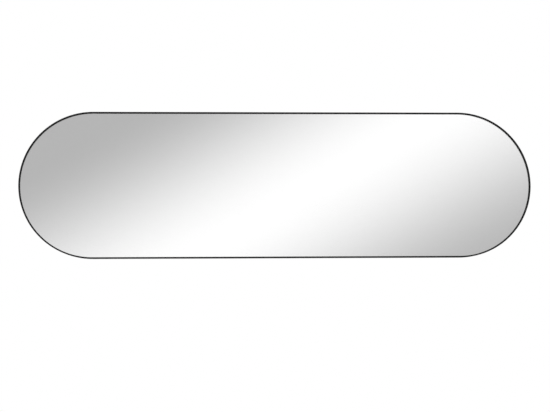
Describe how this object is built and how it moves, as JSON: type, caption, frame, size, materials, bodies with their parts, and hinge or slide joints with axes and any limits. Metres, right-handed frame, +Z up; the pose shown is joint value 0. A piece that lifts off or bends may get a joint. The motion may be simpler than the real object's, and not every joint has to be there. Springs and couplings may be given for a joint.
{
  "type": "oval wall mirror",
  "caption": "Wide oval wall mirror with half-round ends: silvered glass on a backing board in a slim black channel frame, with swinging ring hangers on the back to hang it either way.",
  "frame": {"origin": "on the wall plane, behind the centre of the mirror, where a hung mirror's rubber pads touch the wall", "axes": "+X along the 1400 mm length, to the right as seen from the front; +Y into the wall; +Z up, across the 400 mm height"},
  "size_m": [1.4, 0.024, 0.4],
  "materials": {
    "powder_coat": "matte",
    "seal_rubber": "matte",
    "float_glass": "polished",
    "silver": "polished",
    "backing_film": "satin",
    "tape_foam": "matte",
    "fibreboard": "matte",
    "bar_aluminium": "satin",
    "black_screw_steel": "satin",
    "zinc_steel": "satin",
    "pad_rubber": "matte"
  },
  "bodies": {
    "mirror": {"frame_half_left": "powder_coat", "frame_half_right": "powder_coat", "front_seal": "seal_rubber", "mirror_glass": "float_glass", "silver_coating": "silver", "safety_film": "backing_film", "backing_board": "fibreboard", "joint_bar_top": "bar_aluminium", "joint_bar_bottom": "bar_aluminium", "joint_bar_screws_top": "black_screw_steel", "joint_bar_screws_bottom": "black_screw_steel", "foam_tape_1": "tape_foam", "foam_tape_2": "tape_foam", "foam_tape_3": "tape_foam", "foam_tape_4": "tape_foam", "foam_tape_5": "tape_foam", "foam_tape_6": "tape_foam", "foam_tape_7": "tape_foam", "hanger_strap_top_left": "zinc_steel", "hanger_screws_top_left": "zinc_steel", "hanger_strap_top_right": "zinc_steel", "hanger_screws_top_right": "zinc_steel", "hanger_strap_end_upper": "zinc_steel", "hanger_screws_end_upper": "zinc_steel", "hanger_strap_end_lower": "zinc_steel", "hanger_screws_end_lower": "zinc_steel", "wall_pad_top_left": "pad_rubber", "wall_pad_top_right": "pad_rubber", "wall_pad_bottom_left": "pad_rubber", "wall_pad_bottom_right": "pad_rubber", "wall_pad_end_left": "pad_rubber", "wall_pad_end_right": "pad_rubber"},
    "ring_top_left": {"hanging_ring_top_left": "zinc_steel"},
    "ring_top_right": {"hanging_ring_top_right": "zinc_steel"},
    "ring_end_upper": {"hanging_ring_end_upper": "zinc_steel"},
    "ring_end_lower": {"hanging_ring_end_lower": "zinc_steel"}
  },
  "joints": [
    {"name": "ring_top_left_swing", "type": "hinge", "parent": "mirror", "child": "ring_top_left", "pos_m": [-0.4, -0.00875, 0.15], "axis": [-1, 0, 0], "range_deg": [0, 178]},
    {"name": "ring_top_right_swing", "type": "hinge", "parent": "mirror", "child": "ring_top_right", "pos_m": [0.4, -0.00875, 0.15], "axis": [-1, 0, 0], "range_deg": [0, 178]},
    {"name": "ring_end_upper_swing", "type": "hinge", "parent": "mirror", "child": "ring_end_upper", "pos_m": [-0.6, -0.00875, 0.09], "axis": [0, 0, -1], "range_deg": [0, 178]},
    {"name": "ring_end_lower_swing", "type": "hinge", "parent": "mirror", "child": "ring_end_lower", "pos_m": [-0.6, -0.00875, -0.09], "axis": [0, 0, -1], "range_deg": [0, 178]}
  ]
}
